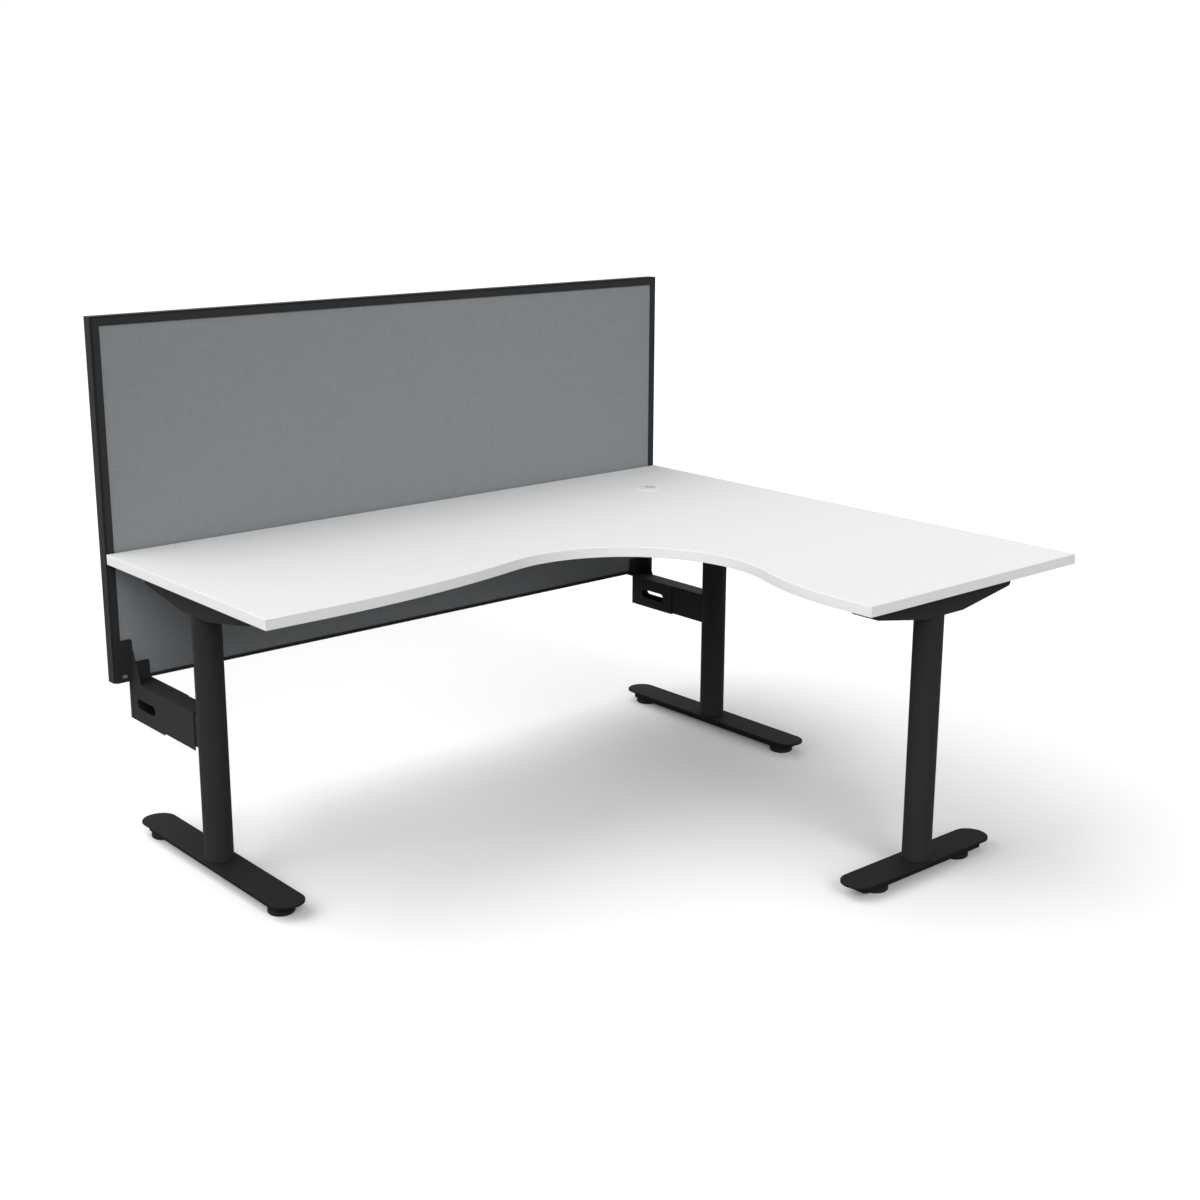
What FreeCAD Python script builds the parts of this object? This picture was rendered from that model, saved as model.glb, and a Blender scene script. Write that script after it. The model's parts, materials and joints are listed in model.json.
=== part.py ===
"""Corner workstation: wave-front worktop, three T-foot legs and a fabric screen on telescoping arms.

Millimetres, +Z up. The origin is on the floor, in the middle of the footprint. The screen wing of the
worktop runs along X with the screen behind it on the +Y side, and the return runs towards -Y.
"""
import FreeCAD, Part
import math
import os
from FreeCAD import Vector

# Worktop
wing_length = 1800.0
return_length = 1500.0
end_depth = 750.0
desk_height = 730.0
top_thickness = 25.0
edge_thickness = 2.0
edge_round = 1.0
glue_line = 0.3
wave_offset = return_length / 6     # from each straight front edge to the middle of the inside curve
wave_radius = 1.32 * wave_offset
wing_straight = wing_length / 12    # straight run of the front edge at the wing's end
return_straight = return_length / 15

# Cable grommet
grommet_inset = 245.0       # from each back edge
grommet_flange = 100.0
grommet_flange_height = 2.0
grommet_chamfer = 0.8
cap_diameter = 86.0
cap_thickness = 3.0
cap_skirt_height = 10.0
cap_skirt_wall = 1.6
sleeve_wall = 2.0
sleeve_depth = 21.0
sleeve_ledge = 4.0
ledge_thickness = 2.0
cable_slot_length = 34.0
cable_slot_width = 15.0
turning_clearance = 0.3

# Legs
leg_setback = 345.0         # column axis from the wing's back edge
leg_inset = 76.0            # column axis from the wing's two ends
return_leg_setback = 445.5  # column axis from the return's back edge
return_leg_inset = 83.0     # column axis from the return's end
column_diameter = 70.0
column_wall = 2.5

# T-feet
foot_width = 87.0
foot_length = 700.0
return_foot_length = 500.0
plate_thickness = 5.0
plate_round = 1.5
pan_height = 18.5
pan_wall = 3.0
pan_side_inset = 15.0
pan_end_inset = 34.0
pan_corner = 10.0

# Levelling feet
glide_inset = 66.0          # pad's axis from the foot's end
return_glide_inset = 100.0
pad_diameter = 64.0
pad_height = 12.0
pad_round = 3.0
stud_radius = 4.9
stud_bed = 7.0              # length of stud moulded into the pad
insert_radius = 7.5
insert_flange = 10.0
insert_flange_thickness = 1.5
insert_head_room = 1.0      # below the foot plate
thread_clearance = 0.3
moulded_clearance = 0.1
wound_in_gap = 0.5          # pad to insert when wound right in

# Folded arms under the worktop
arm_length = 488.0
arm_offset = 12.0           # middle of the arm in front of the column axis
arm_flat = 134.0
arm_depth = 60.0
arm_end_depth = 30.0
arm_width = 72.0
arm_sheet = 3.0
arm_lip = 14.0
arm_tip_round = 10.0
arm_knee_round = 30.0
arm_screw_span = 400.0

# Rails between the legs
rail_width = 50.0
rail_height = 40.0
rail_wall = 2.0
end_plate_length = 100.0
end_plate_height = 44.0
end_plate_thickness = 4.0
rail_bolt_span = 72.0
rail_bolt_radius = 4.0
rail_bolt_head_radius = 7.0
rail_bolt_head_height = 5.0
rail_bolt_grip = 8.0        # length past the end plate

# Screen
screen_gap = 4.0            # worktop's back edge to the frame's front lip
screen_bottom = 400.0
screen_height = 900.0
frame_thickness = 36.0
frame_face = 22.0
frame_body = 12.0
frame_wall = 2.0
lip_thickness = 3.0
lip_inset = 6.0             # step between the frame's outer face and its lip
sill_height = 9.0
fabric_thickness = 1.2
panel_clearance = 0.3
key_leg = 60.0
key_width = 20.0
key_clearance = 0.2

# Telescoping screen arms
screen_arm_width = 55.0
screen_arm_shift = 4.0      # middle of the arm outward from the column axis
screen_arm_height = 84.5    # top of the arm to the top of its floor
screen_arm_sheet = 2.5
nest_clearance = 0.3
web_front = 314.0           # ends of the outer web, in front of and behind the worktop's back edge
web_rear = 17.0
web_drop = 9.0              # outer web below the arm's floor
skirt_front = 160.0         # front end of the web's deeper rear half
skirt_drop = 14.0
hood_front = 188.0          # front and rear of the closed half of the outer arm
hood_rear = 13.0
column_clearance = 3.0
neck_foot = 46.0            # slanted neck in front of the screen
neck_tip = 10.0
neck_height = 85.0
slot_length = 94.0
slot_height = 25.0
web_slot_middle = 69.5      # slot's middle in front of the worktop's back edge
web_slot_rise = 32.7        # slot's middle above the arm's floor
wall_slot_middle = 104.0
wall_slot_rise = 37.5
flange_reach = 48.0         # inner flange beside the neck
flange_height = 48.0
flange_round = 6.0
sleeve_end = 160.0          # rear end of the inner arm's walls
tongue_end = 62.0
tongue_width = 40.0
weld_gap = 0.2
setback_travel = 20.0
clamp_screw_places = (90.0, 140.0)
clamp_screw_radius = 2.9
clamp_screw_head_radius = 6.0
clamp_screw_head_height = 4.0
clamp_screw_tip = 3.5

# Screen clamps
clamp_end_gap = 4.5
clamp_overlap = 7.0         # front plate behind the neck, past the arm's outer face
clamp_front_height = 108.0
clamp_back_height = 90.0
clamp_back_drop = 5.0
clamp_corner = 8.0
clamp_window_width = 14.0
clamp_window_height = 12.5
clamp_window_rise = 7.0
clamp_bolt_inset = 31.0     # from the screen's end
clamp_bolt_heights = (40.0, 75.0)
clamp_bolt_radius = 3.0
clamp_bolt_head_radius = 6.5
clamp_bolt_head_height = 3.5
clamp_bolt_tip = 1.5        # length of thread in the front plate
bolt_clearance = 0.3

# Wood screws through the arms' lips
top_screw_radius = 2.0
top_screw_head_radius = 4.0
top_screw_head_height = 2.5
top_screw_depth = 16.0

# Places that follow from the sizes
rear_reach = screen_gap + frame_thickness + screen_arm_sheet + clamp_bolt_head_height
left = -wing_length / 2
right = wing_length / 2
back = (return_length - rear_reach) / 2
end = back - return_length
top_underside = desk_height - top_thickness
pan_bottom = pad_height + wound_in_gap + insert_flange_thickness
foot_top = pan_bottom + pan_height + plate_thickness
column_top = top_underside - arm_depth
screen_front = back + screen_gap
plate_front = screen_front - screen_arm_sheet
screen_top = screen_bottom + screen_height
screen_arm_bottom = screen_bottom - screen_arm_height
leg_line = back - leg_setback
wave_centre = end_depth + wave_offset
glide_span = foot_length - 2 * glide_inset
return_glide_span = return_foot_length - 2 * return_glide_inset
left_leg = Vector(left + leg_inset, leg_line, 0)
corner_leg = Vector(right - leg_inset, leg_line, 0)
return_leg = Vector(right - return_leg_setback, end + return_leg_inset, 0)
rest = Vector(0, 0, 0)
upward = Vector(0, 0, 1)


def box(x0, x1, y0, y1, z0, z1):
    return Part.makeBox(x1 - x0, y1 - y0, z1 - z0, Vector(x0, y0, z0))


def rod(radius, height, base, direction=upward):
    return Part.makeCylinder(radius, height, base, direction)


def prism(points, along):
    return Part.Face(Part.makePolygon(points + points[:1])).extrude(along)


def turned(profile):
    """Solid of revolution about Z from (radius, z) points."""
    points = [Vector(radius, 0, z) for radius, z in profile]
    return Part.Face(Part.makePolygon(points + points[:1])).revolve(rest, upward, 360)


def arc(start, middle, finish):
    return Part.Arc(start, middle, finish).toShape()


def oblong(length, width, depth):
    """Round-ended bar along X, extruded up from z = 0."""
    half = (length - width) / 2
    radius = width / 2
    corners = [Vector(x, y, 0) for x, y in
               ((-half, radius), (half, radius), (half, -radius), (-half, -radius))]
    edges = [
        Part.makeLine(corners[0], corners[1]),
        arc(corners[1], Vector(half + radius, 0, 0), corners[2]),
        Part.makeLine(corners[2], corners[3]),
        arc(corners[3], Vector(-half - radius, 0, 0), corners[0]),
    ]
    return Part.Face(Part.Wire(edges)).extrude(Vector(0, 0, depth))


def parallel_edges(shape, direction):
    def along(edge):
        ends = edge.Vertexes
        if len(ends) < 2 or not isinstance(edge.Curve, (Part.Line, Part.LineSegment)):
            return False
        run = ends[1].Point - ends[0].Point
        return run.cross(direction).Length < 1e-6 * run.Length
    return [edge for edge in shape.Edges if along(edge)]


def level_edges(shape, height):
    return [e for e in shape.Edges if all(abs(v.Point.z - height) < 1e-6 for v in e.Vertexes)
            and abs(e.valueAt((e.FirstParameter + e.LastParameter) / 2).z - height) < 1e-6]


def rounded_bar(width, length, corner, z0, z1):
    bar = box(-width / 2, width / 2, -length / 2, length / 2, z0, z1)
    return bar.makeFillet(corner, parallel_edges(bar, upward))


def moved(shape, place, turn=0.0):
    copy = shape.copy()
    copy.rotate(rest, upward, turn)
    copy.translate(place)
    return copy


def unit(vector):
    return vector.multiply(1 / vector.Length)


# Worktop

def reverse_radius(run):
    """Radius of the outward arc that leaves the straight front edge and meets the inside curve."""
    return (run ** 2 + wave_offset ** 2 - wave_radius ** 2) / (2 * (wave_radius - wave_offset))


def top_outline(inset):
    """Plan of the worktop, drawn in by inset all round."""
    centre = Vector(right - wave_centre, back - wave_centre, 0)
    wing_radius = reverse_radius(wing_length - wave_centre - wing_straight)
    return_radius = reverse_radius(return_length - wave_centre - return_straight)
    wing_middle = Vector(left + wing_straight, back - end_depth + wing_radius, 0)
    return_middle = Vector(right - end_depth + return_radius, end + return_straight, 0)
    curve = wave_radius + inset
    to_wing = unit(wing_middle - centre)
    to_return = unit(return_middle - centre)
    wing_meet = centre + to_wing * curve
    return_meet = centre + to_return * curve
    wing_start = wing_middle - Vector(0, wing_radius - inset, 0)
    return_start = return_middle - Vector(return_radius - inset, 0, 0)
    wing_half = wing_middle + unit(unit(wing_start - wing_middle) - to_wing) * (wing_radius - inset)
    return_bisector = unit(unit(return_start - return_middle) - to_return)
    return_half = return_middle + return_bisector * (return_radius - inset)
    corners = [
        Vector(left + inset, back - end_depth + inset, 0),
        Vector(left + inset, back - inset, 0),
        Vector(right - inset, back - inset, 0),
        Vector(right - inset, end + inset, 0),
        Vector(right - end_depth + inset, end + inset, 0),
    ]
    path = [wing_start] + corners + [return_start]
    edges = [Part.makeLine(a, b) for a, b in zip(path, path[1:])]
    edges.append(arc(return_start, return_half, return_meet))
    edges.append(arc(return_meet, centre + unit(to_wing + to_return) * curve, wing_meet))
    edges.append(arc(wing_meet, wing_half, wing_start))
    return Part.Wire(edges)


def top_slab(inset):
    slab = Part.Face(top_outline(inset)).extrude(Vector(0, 0, top_thickness))
    slab.translate(Vector(0, 0, top_underside))
    return slab


grommet = Vector(right - grommet_inset, back - grommet_inset, 0)
pocket_radius = cap_diameter / 2 + turning_clearance
barrel_radius = pocket_radius + sleeve_wall
bore_radius = pocket_radius - sleeve_ledge
ledge_top = desk_height + grommet_flange_height - cap_thickness


def desktop_board():
    hole = rod(barrel_radius + bolt_clearance, top_thickness, grommet + Vector(0, 0, top_underside))
    return top_slab(edge_thickness).cut(hole)


def edge_band():
    slab = top_slab(0)
    rims = level_edges(slab, desk_height) + level_edges(slab, top_underside)
    return slab.makeFillet(edge_round, rims).cut(top_slab(edge_thickness - glue_line))


def grommet_sleeve():
    flange = grommet_flange / 2
    flange_top = desk_height + grommet_flange_height
    barrel_bottom = desk_height - sleeve_depth
    return moved(turned([
        (pocket_radius, flange_top), (flange - grommet_chamfer, flange_top),
        (flange, flange_top - grommet_chamfer), (flange, desk_height), (barrel_radius, desk_height),
        (barrel_radius, barrel_bottom), (pocket_radius, barrel_bottom),
        (pocket_radius, ledge_top - ledge_thickness), (bore_radius, ledge_top - ledge_thickness),
        (bore_radius, ledge_top), (pocket_radius, ledge_top),
    ]), grommet)


def grommet_cap():
    disc = cap_diameter / 2
    cap_top = ledge_top + cap_thickness
    skirt = bore_radius - turning_clearance
    cap = turned([
        (0, ledge_top), (skirt - cap_skirt_wall, ledge_top),
        (skirt - cap_skirt_wall, ledge_top - cap_skirt_height), (skirt, ledge_top - cap_skirt_height),
        (skirt, ledge_top), (disc, ledge_top), (disc, cap_top - grommet_chamfer),
        (disc - grommet_chamfer, cap_top), (0, cap_top),
    ])
    slot = oblong(cable_slot_length, cable_slot_width, cap_thickness)
    slot.translate(Vector(0, 0, ledge_top))
    slot.rotate(rest, upward, -45)
    return moved(cap.cut(slot), grommet)


# Legs, each drawn with its foot along Y and its column on the Z axis

def column():
    height = column_top - foot_top
    outer = rod(column_diameter / 2, height, Vector(0, 0, foot_top))
    return outer.cut(rod(column_diameter / 2 - column_wall, height, Vector(0, 0, foot_top)))


def foot_plate(length):
    plate = oblong(length, foot_width, plate_thickness)
    plate.rotate(rest, upward, 90)
    plate.translate(Vector(0, 0, foot_top - plate_thickness))
    return plate.makeFillet(plate_round, level_edges(plate, foot_top))


def foot_pan(length, span):
    width = foot_width - 2 * pan_side_inset
    reach = length - 2 * pan_end_inset
    plate_bottom = pan_bottom + pan_height
    pan = rounded_bar(width, reach, pan_corner, pan_bottom, plate_bottom)
    hollow = rounded_bar(width - 2 * pan_wall, reach - 2 * pan_wall, pan_corner - pan_wall,
                         pan_bottom + pan_wall, plate_bottom)
    pan = pan.cut(hollow)
    for side in (-1, 1):
        place = Vector(0, side * span / 2, pan_bottom)
        pan = pan.cut(rod(insert_radius + bolt_clearance, pan_wall, place))
    return pan


def levelling_insert():
    bore = stud_radius + thread_clearance
    flange_bottom = pan_bottom - insert_flange_thickness
    insert_top = pan_bottom + pan_height - insert_head_room
    return turned([(bore, flange_bottom), (insert_flange, flange_bottom), (insert_flange, pan_bottom),
                   (insert_radius, pan_bottom), (insert_radius, insert_top), (bore, insert_top)])


def levelling_pad():
    radius = pad_diameter / 2
    bed = stud_radius + moulded_clearance
    bed_bottom = pad_height - stud_bed
    return turned([(0, 0), (radius - pad_round, 0), (radius, pad_round), (radius, pad_height - pad_round),
                   (radius - pad_round, pad_height), (bed, pad_height), (bed, bed_bottom), (0, bed_bottom)])


def levelling_stud():
    bed_bottom = pad_height - stud_bed
    stud_top = pan_bottom + pan_height - insert_head_room
    return rod(stud_radius, stud_top - bed_bottom, Vector(0, 0, bed_bottom))


def arm_profile(inset):
    """Side view of the folded arm, drawn in by the sheet's thickness for its inside."""
    rear = arm_length / 2 - arm_offset
    front = -arm_length / 2 - arm_offset
    flat = arm_flat / 2
    rise = arm_depth - arm_end_depth
    run = arm_length / 2 - flat
    slope_shift = inset * (math.hypot(run, rise) - run) / rise
    slope_rise = inset * (math.hypot(run, rise) / run)
    end_bottom = top_underside - arm_end_depth + slope_rise - inset * rise / run
    bottom = column_top + inset
    points = [
        Vector(0, rear - inset, top_underside - inset), Vector(0, rear - inset, end_bottom),
        Vector(0, -arm_offset + flat + slope_shift, bottom),
        Vector(0, -arm_offset - flat - slope_shift, bottom),
        Vector(0, front + inset, end_bottom), Vector(0, front + inset, top_underside - inset),
    ]
    half = arm_width / 2 - inset
    body = prism(points, Vector(2 * half, 0, 0))
    body.translate(Vector(-half, 0, 0))
    across = parallel_edges(body, Vector(1, 0, 0))
    tips = [e for e in across if abs(e.Vertexes[0].Point.z - end_bottom) < 1e-6]
    body = body.makeFillet(arm_tip_round - inset, tips)
    across = parallel_edges(body, Vector(1, 0, 0))
    knees = [e for e in across
             if abs(e.Vertexes[0].Point.z - bottom) < 1e-6 and on_knee(e, flat + slope_shift)]
    return body.makeFillet(arm_knee_round - inset, knees)


def on_knee(edge, reach):
    place = edge.Vertexes[0].Point.y + arm_offset
    return abs(abs(place) - reach) < 1e-6


def arm_screw_places():
    across = arm_width / 2 - arm_lip / 2
    along = arm_screw_span / 2
    return [Vector(sx * across, sy * along - arm_offset, 0) for sx in (-1, 1) for sy in (-1, 1)]


def rail_bolt_places(side):
    face = side * arm_width / 2
    height = top_underside - end_plate_height / 2
    return [Vector(face, sy * rail_bolt_span / 2, height) for sy in (-1, 1)]


def top_arm(rail_side):
    arm = arm_profile(0).cut(arm_profile(arm_sheet))
    reach = arm_length / 2 - arm_lip
    half = arm_width / 2 - arm_lip
    mouth = box(-half, half, -arm_offset - reach, -arm_offset + reach,
                top_underside - arm_sheet, top_underside)
    arm = arm.cut(mouth)
    for place in arm_screw_places():
        lip_bottom = place + Vector(0, 0, top_underside - arm_sheet)
        arm = arm.cut(rod(top_screw_radius + bolt_clearance, arm_sheet, lip_bottom))
    for place in rail_bolt_places(rail_side):
        inward = Vector(-rail_side, 0, 0)
        arm = arm.cut(rod(rail_bolt_radius + bolt_clearance, arm_sheet, place, inward))
    return arm


def top_screws():
    screws = []
    for place in arm_screw_places():
        seat = place + Vector(0, 0, top_underside - arm_sheet)
        head = rod(top_screw_head_radius, top_screw_head_height, seat - Vector(0, 0, top_screw_head_height))
        shank = rod(top_screw_radius, arm_sheet + top_screw_depth, seat)
        screws.append(head.fuse(shank).removeSplitter())
    return screws


def end_plate(side):
    """Plate on the end of a rail, against the arm's side wall."""
    half = end_plate_length / 2
    inner = side * arm_width / 2
    outer = inner + side * end_plate_thickness
    plate = box(min(inner, outer), max(inner, outer), -half, half,
                top_underside - end_plate_height, top_underside)
    for place in rail_bolt_places(side):
        hole = rod(rail_bolt_radius + bolt_clearance, end_plate_thickness, place, Vector(side, 0, 0))
        plate = plate.cut(hole)
    return plate


def rail_bolts(side):
    bolts = []
    for place in rail_bolt_places(side):
        seat = place + Vector(side * end_plate_thickness, 0, 0)
        head = rod(rail_bolt_head_radius, rail_bolt_head_height, seat, Vector(side, 0, 0))
        shank = rod(rail_bolt_radius, end_plate_thickness + rail_bolt_grip, seat, Vector(-side, 0, 0))
        bolts.append(head.fuse(shank).removeSplitter())
    return bolts


# Rails under the worktop

def square_tube(x0, x1, y0, y1, along_x):
    z0 = top_underside - rail_height
    tube = box(x0, x1, y0, y1, z0, top_underside)
    if along_x:
        bore = box(x0, x1, y0 + rail_wall, y1 - rail_wall, z0 + rail_wall, top_underside - rail_wall)
    else:
        bore = box(x0 + rail_wall, x1 - rail_wall, y0, y1, z0 + rail_wall, top_underside - rail_wall)
    return tube.cut(bore)


plate_face = arm_width / 2 + end_plate_thickness
rail_front = leg_line - rail_width / 2


def wing_rail():
    rail = square_tube(left_leg.x + plate_face, corner_leg.x - plate_face,
                       rail_front, rail_front + rail_width, True)
    for place in rail_bolt_places(1):
        start = place - Vector(rail_wall, 0, 0)
        hole = rod(rail_bolt_radius + bolt_clearance, rail_wall, start, Vector(1, 0, 0))
        rail = rail.cut(moved(hole, joint_place(), -90))
    return rail


def return_rail():
    x0 = return_leg.x - rail_width / 2
    return square_tube(x0, x0 + rail_width,
                       return_leg.y + plate_face, rail_front - end_plate_thickness, False)


def joint_place():
    """Where the return rail's plate bears on the wing rail, seen as an arm's side wall facing -Y."""
    return Vector(return_leg.x, rail_front + arm_width / 2, 0)


# Screen

def frame_profile():
    thick = frame_thickness
    lip = lip_thickness
    outer = [
        (0, lip), (lip_inset, lip), (lip_inset, 0), (frame_face, 0), (frame_face, lip), (frame_body, lip),
        (frame_body, thick - lip), (frame_face, thick - lip), (frame_face, thick), (lip_inset, thick),
        (lip_inset, thick - lip), (0, thick - lip),
    ]
    near = lip + frame_wall
    far = thick - lip - frame_wall
    inner = frame_body - frame_wall
    chamber = [(frame_wall, near), (inner, near), (inner, far), (frame_wall, far)]
    return outer, chamber


def extrusion(profiles, place, along):
    """Profile given inward and rearward, put in place by a function and extruded along a vector."""
    solids = []
    for profile in profiles:
        solids.append(prism([place(inward, rearward) for inward, rearward in profile], along))
    return solids[0].cut(solids[1:]) if solids[1:] else solids[0]


def mitre(side):
    """Wedge outside the corner's diagonal, on the stile's side of it."""
    corner = left if side < 0 else right
    size = 2 * frame_face
    points = [Vector(corner - side * size, screen_front, screen_top - size),
              Vector(corner + side * size, screen_front, screen_top + size),
              Vector(corner + side * size, screen_front, screen_top - size)]
    return prism(points, Vector(0, frame_thickness, 0))


def screen_top_rail():
    rail = extrusion(frame_profile(), lambda a, b: Vector(left, screen_front + b, screen_top - a),
                     Vector(wing_length, 0, 0))
    return rail.cut(mitre(-1)).cut(mitre(1))


def screen_stile(side):
    corner = left if side < 0 else right
    stile = extrusion(frame_profile(),
                      lambda a, b: Vector(corner - side * a, screen_front + b, screen_bottom),
                      Vector(0, 0, screen_height))
    rail_side = mitre(side).mirror(Vector(corner, 0, screen_top), Vector(side, 0, -1).normalize())
    return stile.cut(rail_side)


def screen_bottom_rail():
    thick = frame_thickness
    near = lip_thickness - frame_wall
    lip = lip_thickness
    channel = [(0, near), (0, thick - near), (sill_height, thick - near), (sill_height, thick - lip),
               (frame_wall, thick - lip), (frame_wall, lip), (sill_height, lip), (sill_height, near)]
    return extrusion([channel], lambda a, b: Vector(left + frame_face, screen_front + b, screen_bottom + a),
                     Vector(wing_length - 2 * frame_face, 0, 0))


def corner_key(side):
    """Elbow inside the hollow of a top corner."""
    near = frame_wall + key_clearance
    far = frame_body - frame_wall - key_clearance
    corner = left if side < 0 else right
    elbow = [(near, near), (key_leg, near), (key_leg, far), (far, far), (far, key_leg), (near, key_leg)]
    start = screen_front + (frame_thickness - key_width) / 2
    points = [Vector(corner - side * a, start, screen_top - b) for a, b in elbow]
    return prism(points, Vector(0, key_width, 0))


def clamp_bolt_places():
    """Tips of the clamp bolts, inside the front plates."""
    tip = screen_front - clamp_bolt_tip
    return [Vector(x, tip, screen_bottom + rise)
            for x in (left + clamp_bolt_inset, right - clamp_bolt_inset) for rise in clamp_bolt_heights]


def bolt_holes(shape):
    """Cuts the clamp bolts' holes, which stop short of the front plates' faces."""
    reach = clamp_bolt_tip + bolt_clearance + frame_thickness + screen_arm_sheet
    for place in clamp_bolt_places():
        start = place - Vector(0, bolt_clearance, 0)
        shape = shape.cut(rod(clamp_bolt_radius + bolt_clearance, reach, start, Vector(0, 1, 0)))
    return shape


def screen_layer(near, far):
    edge = frame_body + panel_clearance
    bottom = screen_bottom + frame_wall + panel_clearance
    layer = box(left + edge, right - edge, screen_front + near, screen_front + far,
                bottom, screen_top - edge)
    return bolt_holes(layer)


fabric_face = lip_thickness + panel_clearance
core_face = fabric_face + fabric_thickness


# Telescoping screen arms, drawn for the corner leg: outward is +X, with the column on the Y axis

arm_out = screen_arm_width / 2 + screen_arm_shift
arm_in = screen_arm_width / 2 - screen_arm_shift
web_in = arm_out - screen_arm_sheet
wall_in = arm_in - screen_arm_sheet
slide_out = web_in - nest_clearance
slide_in = wall_in - nest_clearance
plate_edge = arm_out - clamp_overlap


def along_arm(front, rear):
    """Y places at distances in front of the worktop's back edge; a negative one is behind it."""
    return back - front, back - rear


def cable_slot(face, middle, rise):
    """Oblong cut through the sheet whose inner or outer face is at x = face."""
    slot = oblong(slot_length, slot_height, screen_arm_sheet)
    slot.rotate(rest, upward, 90)
    slot.rotate(rest, Vector(0, 1, 0), 90)
    slot.translate(Vector(face, back - middle, screen_arm_bottom + rise))
    return slot


def outer_arm():
    sheet = screen_arm_sheet
    top = screen_bottom
    bottom = screen_arm_bottom
    front, rear = along_arm(web_front, -web_rear)
    hood_start, hood_stop = along_arm(hood_front, hood_rear)
    skirt_start, neck_start = along_arm(skirt_front, neck_foot)
    outline = [
        (front, bottom - web_drop), (skirt_start, bottom - web_drop), (skirt_start, bottom - skirt_drop),
        (rear, bottom - skirt_drop), (rear, top), (plate_front, top), (plate_front, top + neck_height),
        (back - neck_tip, top + neck_height), (neck_start, top), (front, top),
    ]
    web = prism([Vector(web_in, y, z) for y, z in outline], Vector(sheet, 0, 0))
    web = web.cut(cable_slot(web_in, web_slot_middle, web_slot_rise))
    flange = box(-slide_in, web_in, front, hood_start, top - sheet, top)
    flange = flange.fuse(box(-arm_in, web_in, hood_start, rear, top - sheet, top))
    wall = box(-arm_in, -wall_in, hood_start, hood_stop, bottom - sheet, top - sheet)
    wall = wall.cut(cable_slot(-arm_in, wall_slot_middle, wall_slot_rise))
    floor = box(-wall_in, web_in, hood_start, hood_stop, bottom - sheet, bottom)
    reach = setback_travel + 2 * (clamp_screw_radius + bolt_clearance)
    for place in clamp_screw_places:
        slot = oblong(reach, 2 * (clamp_screw_radius + bolt_clearance), sheet)
        slot.rotate(rest, upward, 90)
        slot.translate(Vector(screen_arm_shift, back - place - setback_travel / 2, bottom - sheet))
        floor = floor.cut(slot)
    end_wall = box(-wall_in, web_in, hood_stop - sheet, hood_stop, bottom, top - sheet)
    arm = web.fuse([flange, wall, floor, end_wall, screen_tab()])
    foot = Vector(0, leg_line, bottom - skirt_drop)
    clear = rod(column_diameter / 2 + column_clearance, 2 * screen_arm_height, foot)
    return arm.cut(clear).removeSplitter()


def screen_tab():
    """Inner flange that stands on the arm in front of the screen, beside the clamp's front plate."""
    top = screen_bottom
    inner = web_in - flange_reach
    tab = box(inner, plate_edge - nest_clearance, plate_front, screen_front, top, top + flange_height)
    corner = [e for e in parallel_edges(tab, Vector(0, 1, 0))
              if e.Vertexes[0].Point.x < inner + 1e-6 and e.Vertexes[0].Point.z > top + 1e-6]
    return tab.makeFillet(flange_round, corner)


def inner_arm():
    sheet = screen_arm_sheet
    bottom = screen_arm_bottom + nest_clearance
    top = screen_bottom - sheet - nest_clearance
    wall_end = back - sleeve_end
    channel = box(-slide_in, slide_out, leg_line, wall_end, bottom, top)
    hollow = box(-slide_in + sheet, slide_out - sheet, leg_line, wall_end, bottom + sheet, top)
    channel = channel.cut(hollow)
    tongue_left = screen_arm_shift - tongue_width / 2
    tongue = box(tongue_left, tongue_left + tongue_width, wall_end, back - tongue_end,
                 bottom, bottom + sheet)
    arm = channel.fuse(tongue).removeSplitter()
    arm = arm.cut(rod(column_diameter / 2 + weld_gap, screen_arm_height, Vector(0, leg_line, bottom)))
    for place in clamp_screw_places:
        hole = Vector(screen_arm_shift, back - place, bottom)
        arm = arm.cut(rod(clamp_screw_radius + moulded_clearance, sheet, hole))
    return arm


def arm_clamp_screws():
    seat = screen_arm_bottom - screen_arm_sheet
    length = 2 * screen_arm_sheet + nest_clearance + clamp_screw_tip
    screws = []
    for place in clamp_screw_places:
        at = Vector(screen_arm_shift, back - place, seat)
        under = at - Vector(0, 0, clamp_screw_head_height)
        head = rod(clamp_screw_head_radius, clamp_screw_head_height, under)
        screws.append(head.fuse(rod(clamp_screw_radius, length, at)).removeSplitter())
    return screws


def clamp_plate(near, far, z0, z1):
    plate = box(plate_edge, leg_inset - clamp_end_gap, near, far, z0, z1)
    corners = [e for e in parallel_edges(plate, Vector(0, 1, 0)) if e.Vertexes[0].Point.z > z1 - 1e-6]
    return plate.makeFillet(clamp_corner, corners)


def clamp_front():
    plate = clamp_plate(plate_front, screen_front, screen_bottom, screen_bottom + clamp_front_height)
    middle = (plate_edge + leg_inset - clamp_end_gap) / 2
    half = clamp_window_width / 2
    sill = screen_bottom + clamp_window_rise
    window = box(middle - half, middle + half, plate_front, screen_front,
                 sill, sill + clamp_window_height)
    return plate.cut(window)


def clamp_back():
    near = screen_front + frame_thickness
    foot = screen_bottom - clamp_back_drop
    return clamp_plate(near, near + screen_arm_sheet, foot, screen_bottom + clamp_back_height)


def clamp_bolts():
    bolts = []
    shank_length = clamp_bolt_tip + frame_thickness + screen_arm_sheet
    for place in clamp_bolt_places():
        shank = rod(clamp_bolt_radius, shank_length, place, Vector(0, 1, 0))
        seat = place + Vector(0, shank_length, 0)
        head = rod(clamp_bolt_head_radius, clamp_bolt_head_height, seat, Vector(0, 1, 0))
        bolts.append(shank.fuse(head).removeSplitter())
    return bolts


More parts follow.
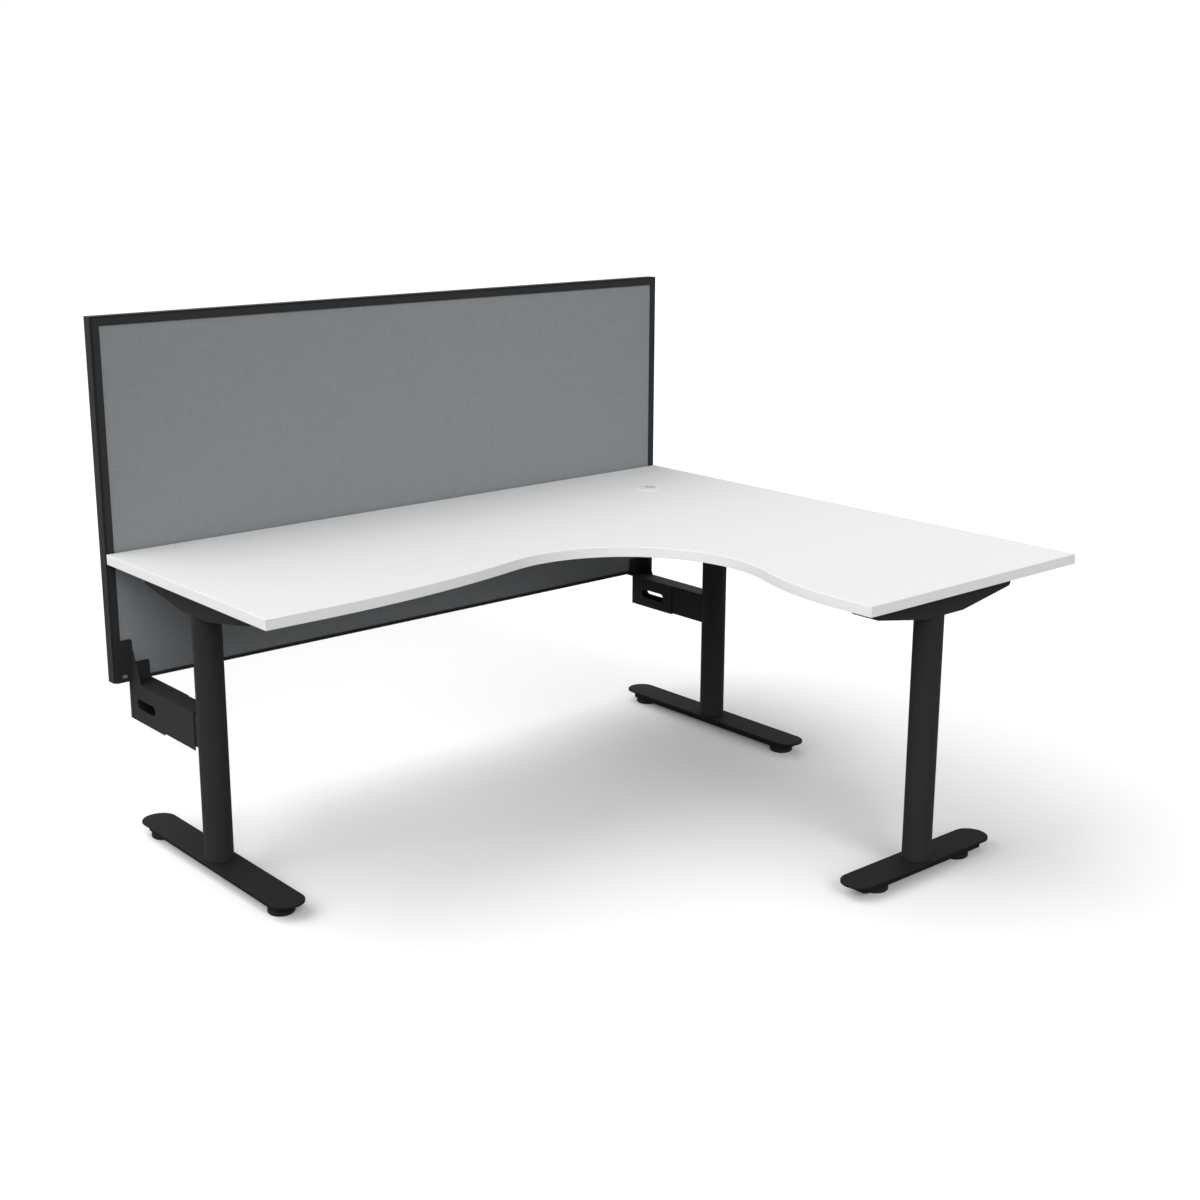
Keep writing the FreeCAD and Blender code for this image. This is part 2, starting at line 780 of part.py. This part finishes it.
def at_leg(shape, side):
    """Puts a screen arm's piece at the corner leg, or mirrored at the left leg."""
    if side > 0:
        return moved(shape, Vector(corner_leg.x, 0, 0))
    return moved(shape.mirror(rest, Vector(1, 0, 0)), Vector(left_leg.x, 0, 0))


# Assembly: every node and its solids

nodes = {
    "desktop_board": [desktop_board()],
    "edge_band": [edge_band()],
    "grommet_sleeve": [grommet_sleeve()],
    "grommet_cap": [grommet_cap()],
    "levelling_inserts": [],
    "top_screws": [],
    "rail_bolts": [],
    "rail_end_plates": [],
    "arm_clamp_screws": [],
}

# name, place, turn, length of foot, span of its glides, side of the rail
legs = [
    ("left", left_leg, 0, foot_length, glide_span, 1),
    ("corner", corner_leg, 0, foot_length, glide_span, -1),
    ("return", return_leg, 90, return_foot_length, return_glide_span, 1),
]
for name, place, turn, length, span, rail_side in legs:
    nodes["column_" + name] = [moved(column(), place, turn)]
    nodes["foot_plate_" + name] = [moved(foot_plate(length), place, turn)]
    nodes["foot_pan_" + name] = [moved(foot_pan(length, span), place, turn)]
    nodes["top_arm_" + name] = [moved(top_arm(rail_side), place, turn)]
    nodes["top_screws"] += [moved(screw, place, turn) for screw in top_screws()]
    nodes["rail_end_plates"].append(moved(end_plate(rail_side), place, turn))
    nodes["rail_bolts"] += [moved(bolt, place, turn) for bolt in rail_bolts(rail_side)]
    for end_name, side in (("front", -1), ("rear", 1)):
        glide = Vector(0, side * span / 2, 0)
        for piece, shape in (("pad", levelling_pad()), ("stud", levelling_stud())):
            node = "levelling_%s_%s_%s" % (piece, name, end_name)
            nodes[node] = [moved(moved(shape, glide), place, turn)]
        nodes["levelling_inserts"].append(moved(moved(levelling_insert(), glide), place, turn))

nodes["rail_end_plates"].append(moved(end_plate(1), joint_place(), -90))
nodes["rail_bolts"] += [moved(bolt, joint_place(), -90) for bolt in rail_bolts(1)]
nodes["wing_rail"] = [wing_rail()]
nodes["return_rail"] = [return_rail()]

for name, side in (("left", -1), ("corner", 1)):
    nodes["inner_arm_" + name] = [at_leg(inner_arm(), side)]
    nodes["outer_arm_" + name] = [at_leg(outer_arm(), side)]
    nodes["clamp_front_" + name] = [bolt_holes(at_leg(clamp_front(), side))]
    nodes["clamp_back_" + name] = [bolt_holes(at_leg(clamp_back(), side))]
    nodes["arm_clamp_screws"] += [at_leg(screw, side) for screw in arm_clamp_screws()]

nodes["clamp_bolts"] = clamp_bolts()
nodes["screen_top_rail"] = [screen_top_rail()]
nodes["screen_bottom_rail"] = [screen_bottom_rail()]
nodes["screen_stile_left"] = [screen_stile(-1)]
nodes["screen_stile_right"] = [screen_stile(1)]
nodes["screen_corner_keys"] = [corner_key(-1), corner_key(1)]
nodes["screen_core"] = [screen_layer(core_face, frame_thickness - core_face)]
nodes["screen_fabric_front"] = [screen_layer(fabric_face, core_face)]
nodes["screen_fabric_back"] = [screen_layer(frame_thickness - core_face, frame_thickness - fabric_face)]

os.makedirs("parts", exist_ok=True)
for name, solids in nodes.items():
    shape = solids[0] if len(solids) == 1 else Part.makeCompound(solids)
    shape.exportStep("parts/%s.step" % name)
    state = "valid" if shape.isValid() else "BAD"
    print(name, len(shape.Solids), "solids", round(shape.Volume / 1000, 1), "cm3", state)
print(len(nodes), "nodes")
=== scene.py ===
import json
import math

import bmesh
import bpy
from mathutils import Matrix, Vector

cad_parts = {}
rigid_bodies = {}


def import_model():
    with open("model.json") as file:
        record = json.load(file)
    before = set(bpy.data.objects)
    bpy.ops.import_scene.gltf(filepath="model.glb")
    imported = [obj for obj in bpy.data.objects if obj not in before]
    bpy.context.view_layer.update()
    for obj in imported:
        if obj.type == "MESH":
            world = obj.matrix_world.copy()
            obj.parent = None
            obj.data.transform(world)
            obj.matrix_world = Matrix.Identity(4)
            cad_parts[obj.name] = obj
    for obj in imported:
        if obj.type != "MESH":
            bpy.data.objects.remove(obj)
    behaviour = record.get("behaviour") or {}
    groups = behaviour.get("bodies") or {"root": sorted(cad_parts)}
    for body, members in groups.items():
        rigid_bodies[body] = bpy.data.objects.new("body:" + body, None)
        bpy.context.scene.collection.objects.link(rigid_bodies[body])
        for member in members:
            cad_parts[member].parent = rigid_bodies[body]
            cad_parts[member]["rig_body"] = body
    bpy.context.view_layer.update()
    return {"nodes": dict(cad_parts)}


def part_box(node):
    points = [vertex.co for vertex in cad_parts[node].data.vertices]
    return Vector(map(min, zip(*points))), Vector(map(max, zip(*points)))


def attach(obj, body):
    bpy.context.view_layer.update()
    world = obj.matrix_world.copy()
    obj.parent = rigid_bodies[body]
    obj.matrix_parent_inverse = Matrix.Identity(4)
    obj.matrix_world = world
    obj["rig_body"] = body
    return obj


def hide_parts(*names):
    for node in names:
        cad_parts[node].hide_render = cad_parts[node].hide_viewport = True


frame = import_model()
cadNodes = frame["nodes"]
scene = bpy.context.scene
mm = 0.001


# node helpers

def newGroup(name, inputs, outputs):
    group = bpy.data.node_groups.new(name, "ShaderNodeTree")
    for label, kind, value in inputs:
        socket = group.interface.new_socket(label, in_out="INPUT", socket_type=kind)
        if value is not None:
            socket.default_value = value
    for label, kind in outputs:
        group.interface.new_socket(label, in_out="OUTPUT", socket_type=kind)
    start = group.nodes.new("NodeGroupInput")
    stop = group.nodes.new("NodeGroupOutput")
    return group, start.outputs, stop.inputs


def addNode(tree, kind, links=None, **settings):
    node = tree.nodes.new(kind)
    for name, value in settings.items():
        setattr(node, name, value)
    for name, value in (links or {}).items():
        if isinstance(value, bpy.types.NodeSocket):
            tree.links.new(value, node.inputs[name])
        else:
            node.inputs[name].default_value = value
    return node


def calc(tree, operation, first, second=0.0, third=0.0):
    node = addNode(tree, "ShaderNodeMath", {0: first, 1: second, 2: third}, operation=operation)
    return node.outputs[0]


def noise(tree, vector, scale, detail=2.0, roughness=0.5):
    links = {"Vector": vector, "Scale": scale, "Detail": detail, "Roughness": roughness}
    return addNode(tree, "ShaderNodeTexNoise", links).outputs[0]


# shared effects

speckle = {"cloudScale": 5.0, "streakScale": (9.0, 40.0, 9.0), "cloudShare": 0.6, "streakShare": 0.4,
           "lowCloud": 0.3, "highCloud": 0.7}
weave = {"wanderScale": 35.0, "wander": 0.0006, "fibre": 700.0, "alongFibre": 28.0}


def makeSpeckleGroup():
    # fine pebble of powder paint, moulded plastic and laminate
    group, given, result = newGroup(
        "fineSpeckle",
        [("Vector", "NodeSocketVector", None), ("Scale", "NodeSocketFloat", 900.0),
         ("Roughness Low", "NodeSocketFloat", 0.4), ("Roughness High", "NodeSocketFloat", 0.55)],
        [("Height", "NodeSocketFloat"), ("Roughness", "NodeSocketFloat"), ("Cloud", "NodeSocketFloat")])
    fine = noise(group, given["Vector"], given["Scale"], 3.0, 0.6)
    broad = noise(group, given["Vector"], speckle["cloudScale"], 3.0, 0.55)
    streak = addNode(group, "ShaderNodeMapping", {"Vector": given["Vector"], "Scale": speckle["streakScale"]})
    handled = noise(group, streak.outputs[0], 1.0, 4.0, 0.6)
    mixed = calc(group, "ADD", calc(group, "MULTIPLY", broad, speckle["cloudShare"]),
                 calc(group, "MULTIPLY", handled, speckle["streakShare"]))
    rough = addNode(group, "ShaderNodeMapRange",
                    {0: mixed, 1: speckle["lowCloud"], 2: speckle["highCloud"],
                     3: given["Roughness Low"], 4: given["Roughness High"]})
    group.links.new(fine, result["Height"])
    group.links.new(rough.outputs[0], result["Roughness"])
    group.links.new(mixed, result["Cloud"])
    return group


def makeWeaveGroup():
    # plain weave in the XZ plane: each thread rises over its neighbours in turn
    group, given, result = newGroup(
        "plainWeave",
        [("Vector", "NodeSocketVector", None), ("Pitch", "NodeSocketFloat", 0.0012)],
        [("Height", "NodeSocketFloat"), ("Thread", "NodeSocketFloat")])
    wander = addNode(group, "ShaderNodeTexNoise",
                     {"Vector": given["Vector"], "Scale": weave["wanderScale"], "Detail": 2.0})
    nudge = addNode(group, "ShaderNodeVectorMath", {0: wander.outputs["Color"], 3: weave["wander"]},
                    operation="SCALE")
    place = addNode(group, "ShaderNodeVectorMath", {0: given["Vector"], 1: nudge.outputs[0]}, operation="ADD")
    axes = addNode(group, "ShaderNodeSeparateXYZ", {0: place.outputs[0]})
    across = calc(group, "MULTIPLY", calc(group, "DIVIDE", axes.outputs[0], given["Pitch"]), math.pi)
    upward = calc(group, "MULTIPLY", calc(group, "DIVIDE", axes.outputs[2], given["Pitch"]), math.pi)
    sineAcross = calc(group, "SINE", across)
    sineUp = calc(group, "SINE", upward)
    over = calc(group, "MULTIPLY", calc(group, "SIGN", sineAcross), calc(group, "SIGN", sineUp))
    share = calc(group, "MULTIPLY_ADD", over, 0.5, 0.5)
    warp = calc(group, "MULTIPLY", calc(group, "ABSOLUTE", sineAcross), share)
    weft = calc(group, "MULTIPLY", calc(group, "ABSOLUTE", sineUp), calc(group, "SUBTRACT", 1.0, share))
    fibre, along = weave["fibre"], weave["alongFibre"]
    stretchWarp = addNode(group, "ShaderNodeMapping",
                          {"Vector": given["Vector"], "Scale": (fibre, fibre, along)})
    stretchWeft = addNode(group, "ShaderNodeMapping",
                          {"Vector": given["Vector"], "Scale": (along, fibre, fibre)})
    warpTone = noise(group, stretchWarp.outputs[0], 1.0, 1.0)
    weftTone = noise(group, stretchWeft.outputs[0], 1.0, 1.0)
    tone = calc(group, "ADD", calc(group, "MULTIPLY", warpTone, share),
                calc(group, "MULTIPLY", weftTone, calc(group, "SUBTRACT", 1.0, share)))
    group.links.new(calc(group, "MAXIMUM", warp, weft), result["Height"])
    group.links.new(tone, result["Thread"])
    return group


speckleGroup = makeSpeckleGroup()
weaveGroup = makeWeaveGroup()


# materials

def newMaterial(name, **sockets):
    material = bpy.data.materials.new(name)
    material.use_nodes = True
    tree = material.node_tree
    shader = tree.nodes["Principled BSDF"]
    for label, value in sockets.items():
        shader.inputs[label.replace("_", " ")].default_value = value
    spot = addNode(tree, "ShaderNodeTexCoord").outputs["Object"]
    return material, tree, shader, spot


def tint(tree, shader, factor, dark, light):
    ramp = addNode(tree, "ShaderNodeMix", {"Factor": factor}, data_type="RGBA")
    for label, colour in (("A", dark), ("B", light)):
        socket = [s for s in ramp.inputs if s.name == label and s.type == "RGBA"][0]
        socket.default_value = (*colour, 1)
    result = [s for s in ramp.outputs if s.type == "RGBA"][0]
    tree.links.new(result, shader.inputs["Base Color"])


def bump(tree, shader, height, strength, distance):
    node = addNode(tree, "ShaderNodeBump", {"Height": height, "Strength": strength, "Distance": distance})
    tree.links.new(node.outputs[0], shader.inputs["Normal"])


def speckled(name, dark, light, scale, roughness, strength, distance, **sockets):
    material, tree, shader, spot = newMaterial(name, **sockets)
    effect = addNode(tree, "ShaderNodeGroup", node_tree=speckleGroup)
    tree.links.new(spot, effect.inputs["Vector"])
    effect.inputs["Scale"].default_value = scale
    effect.inputs["Roughness Low"].default_value = roughness[0]
    effect.inputs["Roughness High"].default_value = roughness[1]
    tree.links.new(effect.outputs["Roughness"], shader.inputs["Roughness"])
    tint(tree, shader, effect.outputs["Cloud"], dark, light)
    bump(tree, shader, effect.outputs["Height"], strength, distance)
    return material


def makeFabric(name, dark, light, pitch):
    material, tree, shader, spot = newMaterial(name, Roughness=0.92, Sheen_Weight=0.12, Sheen_Roughness=0.5,
                                               Specular_IOR_Level=0.15)
    effect = addNode(tree, "ShaderNodeGroup", node_tree=weaveGroup)
    tree.links.new(spot, effect.inputs["Vector"])
    effect.inputs["Pitch"].default_value = pitch
    shade = addNode(tree, "ShaderNodeMapRange", {0: effect.outputs["Thread"], 1: 0.25, 2: 0.75})
    tint(tree, shader, shade.outputs[0], dark, light)
    bump(tree, shader, effect.outputs["Height"], 0.5, 0.0003)
    return material


finishes = {
    # the top and its edge band are one white split into two tones for how light falls: the top's laminate is
    # darkened as painted shade, the edge band lightened as painted light
    "laminate": speckled("whiteLaminatePaintedShade", (0.735, 0.735, 0.737), (0.76, 0.76, 0.762), 1400.0, (0.64, 0.76),
                         0.12, 0.00008, Specular_IOR_Level=0.10),
    "edging": speckled("whiteEdgingPaintedLight", (0.87, 0.87, 0.872), (0.895, 0.895, 0.897), 1800.0, (0.46, 0.56),
                       0.10, 0.00006, Specular_IOR_Level=0.25),
    "moulding": speckled("whiteMoulding", (0.72, 0.72, 0.725), (0.75, 0.75, 0.755), 2600.0, (0.42, 0.54),
                         0.15, 0.00006, Specular_IOR_Level=0.25),
    "powder": speckled("blackPowderCoat", (0.0185, 0.0185, 0.0187), (0.0230, 0.0230, 0.0232), 1500.0,
                       (0.60, 0.70), 0.22, 0.00012, Specular_IOR_Level=0.16),
    # the feet share the columns' black powder coat; this darker copy is painted shade, offsetting the light
    # their upturned tops catch
    "footPowderPaintedShade": speckled("blackFootPaintedShade", (0.0090, 0.0090, 0.0092), (0.0125, 0.0125, 0.0127), 1500.0,
                           (0.68, 0.78), 0.22, 0.00012, Specular_IOR_Level=0.10),
    "frame": speckled("blackFramePaint", (0.0235, 0.0235, 0.0240), (0.0290, 0.0290, 0.0295), 1800.0,
                      (0.60, 0.70), 0.18, 0.0001, Specular_IOR_Level=0.14),
    "glide": speckled("blackGlide", (0.0120, 0.0120, 0.0121), (0.0150, 0.0150, 0.0151), 2600.0,
                      (0.62, 0.72), 0.2, 0.0001, Specular_IOR_Level=0.14),
    "zinc": speckled("blackZinc", (0.045, 0.045, 0.047), (0.075, 0.074, 0.072), 3000.0, (0.28, 0.42), 0.1,
                     0.00005, Metallic=0.85),
    "felt": speckled("feltBoard", (0.16, 0.16, 0.165), (0.22, 0.22, 0.225), 700.0, (0.85, 0.95), 0.6,
                     0.0006, Specular_IOR_Level=0.1),
    "fabric": makeFabric("greyWeave", (0.232, 0.248, 0.260), (0.284, 0.301, 0.313), 0.0011),
}
print("finishes made:", len(finishes))


# mesh helpers

edges = {"merge": 2e-6, "flatAngle": 0.4, "sharpAngle": 28.0}
# how a bolt head's end face is told apart, and the rim left round its socket
heads = {"sides": 12, "fit": 0.9, "roundness": 3.0, "rimShare": 0.4}


def finishPiece(bm, name, finish, body, smoothAngle=32.0):
    mesh = bpy.data.meshes.new(name)
    bm.to_mesh(mesh)
    bm.free()
    mesh.shade_smooth()
    mesh.set_sharp_from_angle(angle=math.radians(smoothAngle))
    mesh.materials.append(finishes[finish])
    piece = bpy.data.objects.new(name, mesh)
    scene.collection.objects.link(piece)
    level = piece.modifiers.new("flatFaces", "WEIGHTED_NORMAL")
    level.keep_sharp = True
    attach(piece, body)
    return piece


def bodyOf(node):
    return cadNodes[node]["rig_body"]


def edgedCopy(node, finish, width, segments=2, socket=None, groove=None):
    # the CAD solid with its points merged and its sharp edges broken
    bm = bmesh.new()
    bm.from_mesh(cadNodes[node].data)
    bmesh.ops.remove_doubles(bm, verts=bm.verts, dist=edges["merge"])
    bmesh.ops.dissolve_limit(bm, angle_limit=math.radians(edges["flatAngle"]), verts=bm.verts, edges=bm.edges,
                             use_dissolve_boundaries=False)
    if groove:
        sinkGrooves(bm, *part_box(node), *groove)
    if width > 0:
        sharp = [e for e in bm.edges if len(e.link_faces) == 2
                 and e.calc_face_angle(0) > math.radians(edges["sharpAngle"])]
        bmesh.ops.bevel(bm, geom=sharp, offset=width, offset_type="OFFSET", affect="EDGES", segments=segments,
                        profile=0.5, clamp_overlap=True, material=-1)
    if socket:
        socketHeads(bm, *socket)
    piece = finishPiece(bm, node + "_edged", finish, bodyOf(node))
    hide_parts(node)


def socketHeads(bm, headRadius, apothem, depth):
    # a hexagon socket sunk into each bolt head's end face
    least = heads["fit"] * headRadius
    ends = [f for f in bm.faces if len(f.verts) > heads["sides"]
            and max((v.co - f.calc_center_median()).length for v in f.verts) > least
            and f.calc_area() > heads["roundness"] * least ** 2]
    for head in ends:
        centre, outward = head.calc_center_median(), head.normal.copy()
        side = outward.orthogonal().normalized()
        up = outward.cross(side)
        bmesh.ops.inset_individual(bm, faces=[head], thickness=heads["rimShare"] * headRadius)
        for vert in head.verts:
            offset = vert.co - centre
            angle = math.atan2(offset.dot(up), offset.dot(side))
            reach = apothem / math.cos(angle % (math.pi / 3) - math.pi / 6)
            vert.co = centre + side * (reach * math.cos(angle)) + up * (reach * math.sin(angle))
        floor = bmesh.ops.extrude_discrete_faces(bm, faces=[head])["faces"][0]
        bmesh.ops.translate(bm, verts=floor.verts, vec=-outward * depth)


def sinkGrooves(bm, low, high, lip, land, depth):
    # a groove along the step beside the frame's lips, front and back
    for plane, outward in ((low.y + lip, -1), (high.y - lip, 1)):
        steps = [f for f in bm.faces if f.normal.y * outward > 0.99
                 and abs(f.calc_center_median().y - plane) < 0.1 * mm]
        bmesh.ops.inset_individual(bm, faces=steps, thickness=land)
        for floor in bmesh.ops.extrude_discrete_faces(bm, faces=steps)["faces"]:
            bmesh.ops.translate(bm, verts=floor.verts, vec=(0, -outward * depth, 0))


# worktop and grommet

worktop = {"grommetBreak": 0.3 * mm, "ringSides": 96}
cap = {"wall": 1.5 * mm, "rimDepth": 3.0 * mm, "chamfer": 0.8 * mm, "skirtRadius": 39.0 * mm,
       "skirtWall": 1.6 * mm, "slotLength": 34.0 * mm, "slotWidth": 15.0 * mm, "slotTurn": -45.0,
       "cornerShare": 0.29}     # how far a broken corner's middle point stands back


def makeCap(node):
    # moulded lid: a thin top with a cable slot, a rim that sits on the sleeve's ledge, and a skirt below
    low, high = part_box(node)
    disc, skirt = (high.x - low.x) / 2, cap["skirtRadius"]
    inner = skirt - cap["skirtWall"]
    underTop, underRim = high.z - cap["wall"], high.z - cap["rimDepth"]
    slot = cap["slotWidth"] / 2
    corners = [(slot, underTop), (slot, high.z), (disc - cap["chamfer"], high.z),
               (disc, high.z - cap["chamfer"]), (disc, underRim), (skirt, underRim), (skirt, low.z),
               (inner, low.z), (inner, underTop)]
    bm = bmesh.new()
    profile = []
    for before, corner, after in zip(corners[-1:] + corners[:-1], corners, corners[1:] + corners[:1]):
        # three points break each corner
        here = Vector(corner)
        back = (Vector(before) - here).normalized() * worktop["grommetBreak"]
        ahead = (Vector(after) - here).normalized() * worktop["grommetBreak"]
        for step in (back, (back + ahead) * cap["cornerShare"], ahead):
            radius, height = here + step
            profile.append(bm.verts.new((radius, 0, height)))
    outline = [bm.edges.new(pair) for pair in zip(profile, profile[1:] + profile[:1])]
    bmesh.ops.spin(bm, geom=profile + outline, cent=(0, 0, 0), axis=(0, 0, 1), angle=2 * math.pi,
                   steps=worktop["ringSides"], use_merge=True)
    # half a step, so that no point lies on the slot's middle line
    halfStep = Matrix.Rotation(math.pi / worktop["ringSides"], 4, "Z")
    bmesh.ops.transform(bm, matrix=halfStep, verts=bm.verts)
    for vert in bm.verts:
        if math.hypot(vert.co.x, vert.co.y) < slot + 2 * worktop["grommetBreak"]:
            vert.co.x += math.copysign((cap["slotLength"] - cap["slotWidth"]) / 2, vert.co.x)
    bmesh.ops.recalc_face_normals(bm, faces=bm.faces)
    middle = Matrix.Translation(((low.x + high.x) / 2, (low.y + high.y) / 2, 0))
    turn = Matrix.Rotation(math.radians(cap["slotTurn"]), 4, "Z")
    bmesh.ops.transform(bm, matrix=middle @ turn, verts=bm.verts)
    piece = finishPiece(bm, node + "_moulded", "moulding", bodyOf(node))
    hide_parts(node)


# the top takes the darkened white (painted shade), the edge band the lightened white (painted light)
edgedCopy("desktop_board", "laminate", 0.0)
edgedCopy("edge_band", "edging", 0.0)
edgedCopy("grommet_sleeve", "moulding", worktop["grommetBreak"])
makeCap("grommet_cap")
print("worktop done")


# legs

legs = {"names": ("left", "corner", "return"), "sheetBreak": 0.8 * mm, "plateBreak": 0.5 * mm,
        "tubeBreak": 0.3 * mm, "padBreak": 0.8 * mm, "padSegments": 3, "insertBreak": 0.2 * mm}

for leg in legs["names"]:
    edgedCopy("column_" + leg, "powder", legs["tubeBreak"])
    # foot plates and pans take the darker copy of the powder coat, painted shade
    edgedCopy("foot_plate_" + leg, "footPowderPaintedShade", legs["plateBreak"])
    edgedCopy("foot_pan_" + leg, "footPowderPaintedShade", legs["plateBreak"])
    edgedCopy("top_arm_" + leg, "powder", legs["sheetBreak"])
    for end in ("front", "rear"):
        edgedCopy("levelling_pad_%s_%s" % (leg, end), "glide", legs["padBreak"],
                  segments=legs["padSegments"])
        edgedCopy("levelling_stud_%s_%s" % (leg, end), "zinc", 0.0)
edgedCopy("levelling_inserts", "zinc", legs["insertBreak"])
print("legs done")


# rails under the worktop, and every bolt

rails = {"edgeBreak": 0.6 * mm}
bolts = {"headBreak": 0.4 * mm,     # head radius, half the hexagon's width and its depth
         "sockets": {"rail_bolts": (7.0 * mm, 3.0 * mm, 3.0 * mm),
                     "top_screws": (4.0 * mm, 1.6 * mm, 1.4 * mm),
                     "arm_clamp_screws": (6.0 * mm, 2.2 * mm, 2.2 * mm),
                     "clamp_bolts": (6.5 * mm, 2.2 * mm, 2.0 * mm)}}

for node in ("wing_rail", "return_rail", "rail_end_plates"):
    edgedCopy(node, "powder", rails["edgeBreak"])
for node, socket in bolts["sockets"].items():
    edgedCopy(node, "zinc", bolts["headBreak"], socket=socket)
print("rails and bolts done")


# telescoping arms and clamps

arms = {"sheetBreak": 0.6 * mm}

for side in ("left", "corner"):
    for node in ("inner_arm_", "outer_arm_", "clamp_front_", "clamp_back_"):
        edgedCopy(node + side, "powder", arms["sheetBreak"])
print("arms done")


# screen

screen = {"frameBreak": 0.4 * mm, "crown": 1.0 * mm, "crownRun": 45 * mm, "columns": 150, "rows": 76,
          "cloth": 0.8 * mm, "groove": (3.0 * mm, 0.3 * mm, 9.0 * mm)}   # lip's height, land and depth

edgedCopy("screen_bottom_rail", "frame", screen["frameBreak"])
for node in ("screen_top_rail", "screen_stile_left", "screen_stile_right"):
    edgedCopy(node, "frame", screen["frameBreak"], groove=screen["groove"])
edgedCopy("screen_corner_keys", "glide", 0.0)
edgedCopy("screen_core", "felt", 0.0)


def makeCloth(node, outward):
    # cloth pulled over the board: flat in the middle, falling back where it tucks behind the frame
    low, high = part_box(node)
    face = low.y if outward < 0 else high.y
    width, height = high.x - low.x, high.z - low.z
    bm = bmesh.new()
    turn = Matrix.Rotation(math.radians(90), 4, "X")
    size = Matrix.Diagonal((width / 2, height / 2, 1, 1))
    middle = Matrix.Translation(((low.x + high.x) / 2, face, (low.z + high.z) / 2))
    bmesh.ops.create_grid(bm, x_segments=screen["columns"], y_segments=screen["rows"], size=1.0,
                          matrix=middle @ turn @ size)
    for vert in bm.verts:
        inset = min(vert.co.x - low.x, high.x - vert.co.x, vert.co.z - low.z, high.z - vert.co.z)
        share = min(1.0, inset / screen["crownRun"])
        vert.co.y += outward * screen["crown"] * math.sin(share * math.pi / 2) ** 2
    if outward > 0:
        bmesh.ops.reverse_faces(bm, faces=bm.faces)
    piece = finishPiece(bm, node + "_cloth", "fabric", bodyOf(node), 180.0)
    thick = piece.modifiers.new("thickness", "SOLIDIFY")
    thick.thickness = screen["cloth"]
    thick.offset = -1.0
    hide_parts(node)


makeCloth("screen_fabric_front", -1)
makeCloth("screen_fabric_back", 1)
print("screen done")


# floor, light and camera

stage = {"floorSize": 400.0, "floorSeen": (0.96, 0.96, 0.96, 1), "floorBounce": (0.27, 0.27, 0.27, 1),
         "floorLift": 0.06, "ambient": 0.18, "lampDistance": 4.0}
lamps = [
    {"name": "topSoft", "from": (0.0, 0.0, 1.0), "angle": 80.0, "strength": 0.46},
    {"name": "backKey", "from": (-0.45, 0.70, 1.0), "angle": 70.0, "strength": 1.96},
    {"name": "leftFill", "from": (-0.92, 0.00, 0.42), "angle": 45.0, "strength": 0.98},
    {"name": "frontFill", "from": (-0.29, -0.84, 0.50), "angle": 36.0, "strength": 1.52},
]
cameraSet = {"place": (-2.6386, -3.0877, 1.7173), "pitch": 14.426, "yaw": 40.028, "focal": 1721.5,
             "image": 1200.0, "centre": (571.1, 575.4), "sensor": 36.0, "farClip": 500.0}


def makeFloor():
    bm = bmesh.new()
    bmesh.ops.create_grid(bm, x_segments=1, y_segments=1, size=stage["floorSize"] / 2)
    mesh = bpy.data.meshes.new("floor")
    bm.to_mesh(mesh)
    bm.free()
    floor = bpy.data.objects.new("floor", mesh)
    scene.collection.objects.link(floor)
    material = bpy.data.materials.new("paleFloor")
    material.use_nodes = True
    tree = material.node_tree
    tree.nodes.remove(tree.nodes["Principled BSDF"])
    seen = addNode(tree, "ShaderNodeLightPath")
    tone = addNode(tree, "ShaderNodeMixRGB", {"Fac": seen.outputs["Is Camera Ray"],
                                              "Color1": stage["floorBounce"], "Color2": stage["floorSeen"]})
    matte = addNode(tree, "ShaderNodeBsdfDiffuse", {"Color": tone.outputs[0]})
    shown = calc(tree, "MAXIMUM", seen.outputs["Is Camera Ray"], seen.outputs["Is Glossy Ray"])
    lift = calc(tree, "MULTIPLY", shown, stage["floorLift"])
    glow = addNode(tree, "ShaderNodeEmission", {"Strength": lift})
    both = addNode(tree, "ShaderNodeAddShader", {0: matte.outputs[0], 1: glow.outputs[0]})
    tree.links.new(both.outputs[0], tree.nodes["Material Output"].inputs["Surface"])
    mesh.materials.append(material)


def makeWorld():
    world = bpy.data.worlds.new("paleRoom")
    world.use_nodes = True
    scene.world = world
    tree = world.node_tree
    path = addNode(tree, "ShaderNodeLightPath")
    seen = calc(tree, "MAXIMUM", path.outputs["Is Camera Ray"], path.outputs["Is Glossy Ray"])
    seen = calc(tree, "MAXIMUM", seen, path.outputs["Is Transmission Ray"])
    strength = addNode(tree, "ShaderNodeMapRange", {0: seen, 3: stage["ambient"], 4: 1.0})
    ground = tree.nodes["Background"]
    ground.inputs["Color"].default_value = (1, 1, 1, 1)
    tree.links.new(strength.outputs[0], ground.inputs["Strength"])


def makeLamp(given):
    lamp = bpy.data.lights.new(given["name"], "SUN")
    lamp.angle = math.radians(given["angle"])
    lamp.energy = given["strength"]
    holder = bpy.data.objects.new(given["name"], lamp)
    holder.location = Vector(given["from"]) * stage["lampDistance"]
    holder.rotation_euler = (-Vector(given["from"])).to_track_quat("-Z", "Y").to_euler()
    scene.collection.objects.link(holder)


def makeCamera():
    camera = bpy.data.cameras.new("camera")
    camera.sensor_width = cameraSet["sensor"]
    camera.lens = cameraSet["focal"] / cameraSet["image"] * cameraSet["sensor"]
    camera.shift_x = 0.5 - cameraSet["centre"][0] / cameraSet["image"]
    camera.shift_y = cameraSet["centre"][1] / cameraSet["image"] - 0.5
    camera.clip_end = cameraSet["farClip"]
    holder = bpy.data.objects.new("camera", camera)
    holder.location = cameraSet["place"]
    holder.rotation_euler = (math.radians(90 - cameraSet["pitch"]), 0, math.radians(-cameraSet["yaw"]))
    scene.collection.objects.link(holder)
    scene.camera = holder


makeFloor()
makeWorld()
for given in lamps:
    makeLamp(given)
makeCamera()
scene.view_settings.view_transform = "Standard"
print("stage done")
